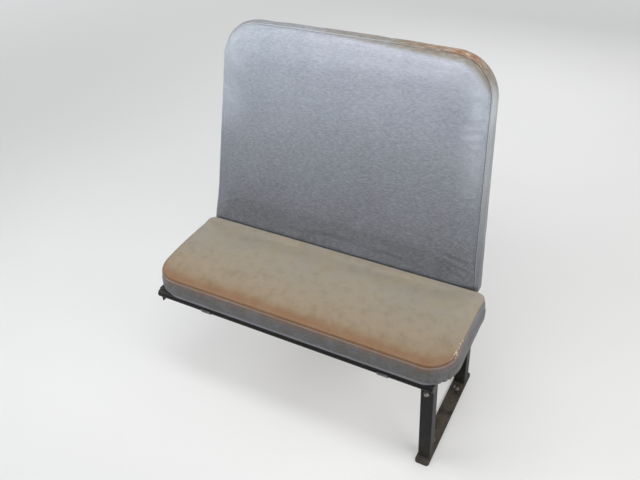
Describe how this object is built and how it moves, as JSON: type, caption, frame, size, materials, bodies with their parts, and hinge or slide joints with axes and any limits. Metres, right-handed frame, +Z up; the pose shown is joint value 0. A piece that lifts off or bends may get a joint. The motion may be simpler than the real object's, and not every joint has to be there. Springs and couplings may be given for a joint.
{
  "type": "school bus bench seat",
  "caption": "High-backed vinyl bench seat for a school bus, on a steel aisle pedestal and side-wall brackets, with a cushion that hinges up at its front edge.",
  "frame": {"origin": "on the floor, midway between the two floor bolts of the aisle pedestal", "axes": "+X towards the aisle, +Y towards the rear of the bus, +Z up; the sitter faces -Y"},
  "size_m": [1.007, 0.5557, 1.0963],
  "materials": {
    "seat_vinyl": "blue-grey coated vinyl with a fine leather grain, worn and soiled",
    "frame_paint": "black semi-gloss powder coat, scuffed",
    "plywood": "bare plywood",
    "zinc_steel": "zinc-plated steel strip",
    "plastic_cap": "black moulded plastic"
  },
  "bodies": {
    "frame": {"foot_rail": "frame_paint", "front_leg": "frame_paint", "rear_leg": "frame_paint", "front_leg_gusset": "frame_paint", "rear_leg_gusset": "frame_paint", "aisle_rail": "frame_paint", "wall_rail": "frame_paint", "front_tube": "frame_paint", "rear_tube": "frame_paint", "front_tube_cap_wall": "plastic_cap", "front_tube_cap_aisle": "plastic_cap", "aisle_rail_cap": "plastic_cap", "wall_rail_cap": "plastic_cap", "wall_bracket_front": "frame_paint", "wall_bracket_rear": "frame_paint", "back_frame": "frame_paint", "back_bar": "frame_paint", "back_pad": "seat_vinyl"},
    "cushion": {"cushion_pad": "seat_vinyl", "cushion_board": "plywood", "hinge_hook_wall": "zinc_steel", "hinge_hook_aisle": "zinc_steel", "rear_clip_wall": "zinc_steel", "rear_clip_aisle": "zinc_steel"}
  },
  "joints": [
    {"name": "cushion_hinge", "type": "hinge", "parent": "frame", "child": "cushion", "pos_m": [-0.423, -0.19475, 0.354], "axis": [1, 0, 0], "range_deg": [0, 95]}
  ]
}
